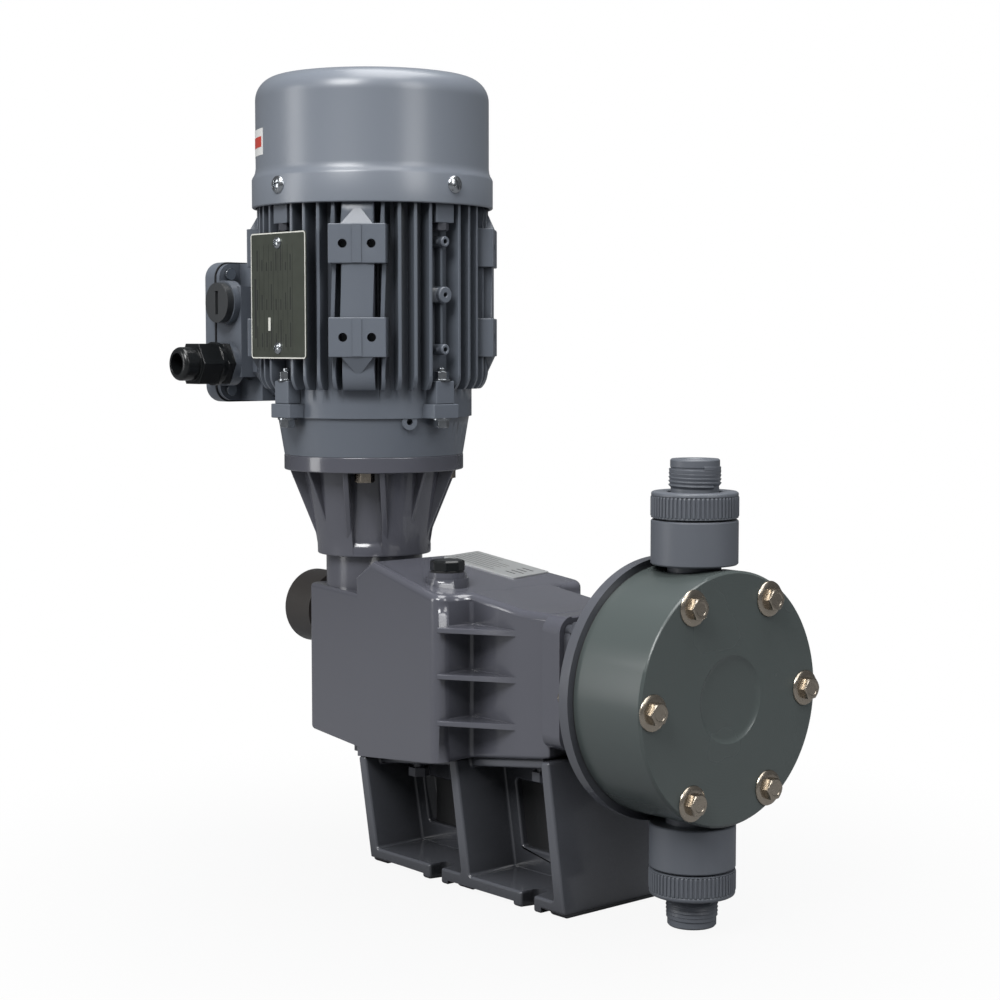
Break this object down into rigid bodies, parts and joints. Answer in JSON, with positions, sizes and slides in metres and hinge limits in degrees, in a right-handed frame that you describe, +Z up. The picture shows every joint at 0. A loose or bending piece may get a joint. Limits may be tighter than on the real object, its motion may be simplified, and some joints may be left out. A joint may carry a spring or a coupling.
{
  "type": "diaphragm metering pump",
  "caption": "Motor-driven diaphragm metering pump: vertical flanged motor on a worm gearbox, pedestal base, round bolted plastic head with suction and discharge unions.",
  "frame": {"origin": "centre of the base on the surface it stands on", "axes": "+X to the pump head along the stroke axis, +Z up along the motor, right-handed"},
  "size_m": [0.4, 0.1534, 0.4527],
  "materials": {
    "case_paint": "glossy",
    "bracket_paint": "satin",
    "motor_paint": "satin",
    "head_pvc": "turned",
    "valve_pvc": "satin",
    "stainless": "satin",
    "zinc_steel": "bright",
    "ground_steel": "ground",
    "bronze": "machined",
    "black_plastic": "moulded",
    "knob_plastic": "moulded",
    "elastomer": "matt",
    "ceramic": "polished",
    "plate_metal": "etched"
  },
  "bodies": {
    "pump": {"base": "case_paint", "base_bolts": "zinc_steel", "blanking_plug": "black_plastic", "cable_gland": "black_plastic", "cover_bolts": "zinc_steel", "cowl_screws": "zinc_steel", "diaphragm": "elastomer", "discharge_connector": "valve_pvc", "discharge_oring": "elastomer", "discharge_seat": "valve_pvc", "discharge_union_nut": "valve_pvc", "discharge_valve_body": "valve_pvc", "fan_cowl": "motor_paint", "front_cover": "case_paint", "gear_housing": "case_paint", "gland_nut": "black_plastic", "head_bolts": "stainless", "head_bracket": "bracket_paint", "head_nuts": "stainless", "head_washers": "stainless", "info_plate": "plate_metal", "knob_bush": "bronze", "lantern": "case_paint", "lantern_bolts": "zinc_steel", "lid_screws": "zinc_steel", "motor_bearings": "ground_steel", "motor_frame": "motor_paint", "motor_shield": "motor_paint", "nameplate": "plate_metal", "oil_cap": "black_plastic", "oil_cap_gasket": "elastomer", "pump_head": "head_pvc", "rear_shield": "motor_paint", "return_spring": "ground_steel", "rod_bush": "bronze", "rod_seal": "elastomer", "shaft_bearings": "ground_steel", "shield_bolts": "zinc_steel", "stator_core": "ground_steel", "suction_connector": "valve_pvc", "suction_oring": "elastomer", "suction_seat": "valve_pvc", "suction_union_nut": "valve_pvc", "suction_valve_body": "valve_pvc", "terminal_block": "black_plastic", "terminal_box": "motor_paint", "terminal_box_lid": "motor_paint", "worm_bearings": "ground_steel"},
    "rotor_group": {"rotor": "ground_steel", "fan": "black_plastic", "worm_shaft": "ground_steel", "shaft_key": "ground_steel"},
    "wheel_group": {"worm_wheel": "bronze", "eccentric_shaft": "ground_steel"},
    "rod_group": {"push_rod": "ground_steel", "diaphragm_disc": "ground_steel"},
    "knob": {"adjusting_knob": "knob_plastic"},
    "stop": {"stop_spindle": "ground_steel"},
    "suction_ball": {"suction_ball": "ceramic"},
    "discharge_ball": {"discharge_ball": "ceramic"}
  },
  "joints": [
    {"name": "rotor_spin", "type": "hinge", "parent": "pump", "child": "rotor_group", "pos_m": [-0.124, 0, 0.3], "axis": [0, 0, 1], "continuous": true},
    {"name": "wheel_spin", "type": "hinge", "parent": "pump", "child": "wheel_group", "pos_m": [-0.08, 0, 0.12], "axis": [0, 1, 0], "continuous": true},
    {"name": "rod_stroke", "type": "slide", "parent": "pump", "child": "rod_group", "axis": [1, 0, 0], "range_m": [0, 0.004], "deforming": ["return_spring", "diaphragm"]},
    {"name": "knob_turn", "type": "hinge", "parent": "pump", "child": "knob", "pos_m": [-0.17, 0, 0.134], "axis": [1, 0, 0], "range_deg": [0, 1440]},
    {"name": "stop_slide", "type": "slide", "parent": "pump", "child": "stop", "axis": [1, 0, 0], "range_m": [0, 0.004]},
    {"name": "suction_lift", "type": "slide", "parent": "pump", "child": "suction_ball", "axis": [0, 0, 1], "range_m": [0, 0.003]},
    {"name": "discharge_lift", "type": "slide", "parent": "pump", "child": "discharge_ball", "axis": [0, 0, 1], "range_m": [0, 0.003]}
  ],
  "couplings": [
    {"joint": "wheel_spin", "follows": "rotor_spin", "ratio": -0.05},
    {"joint": "stop_slide", "follows": "knob_turn", "m_per_rad": 0.00015915}
  ]
}
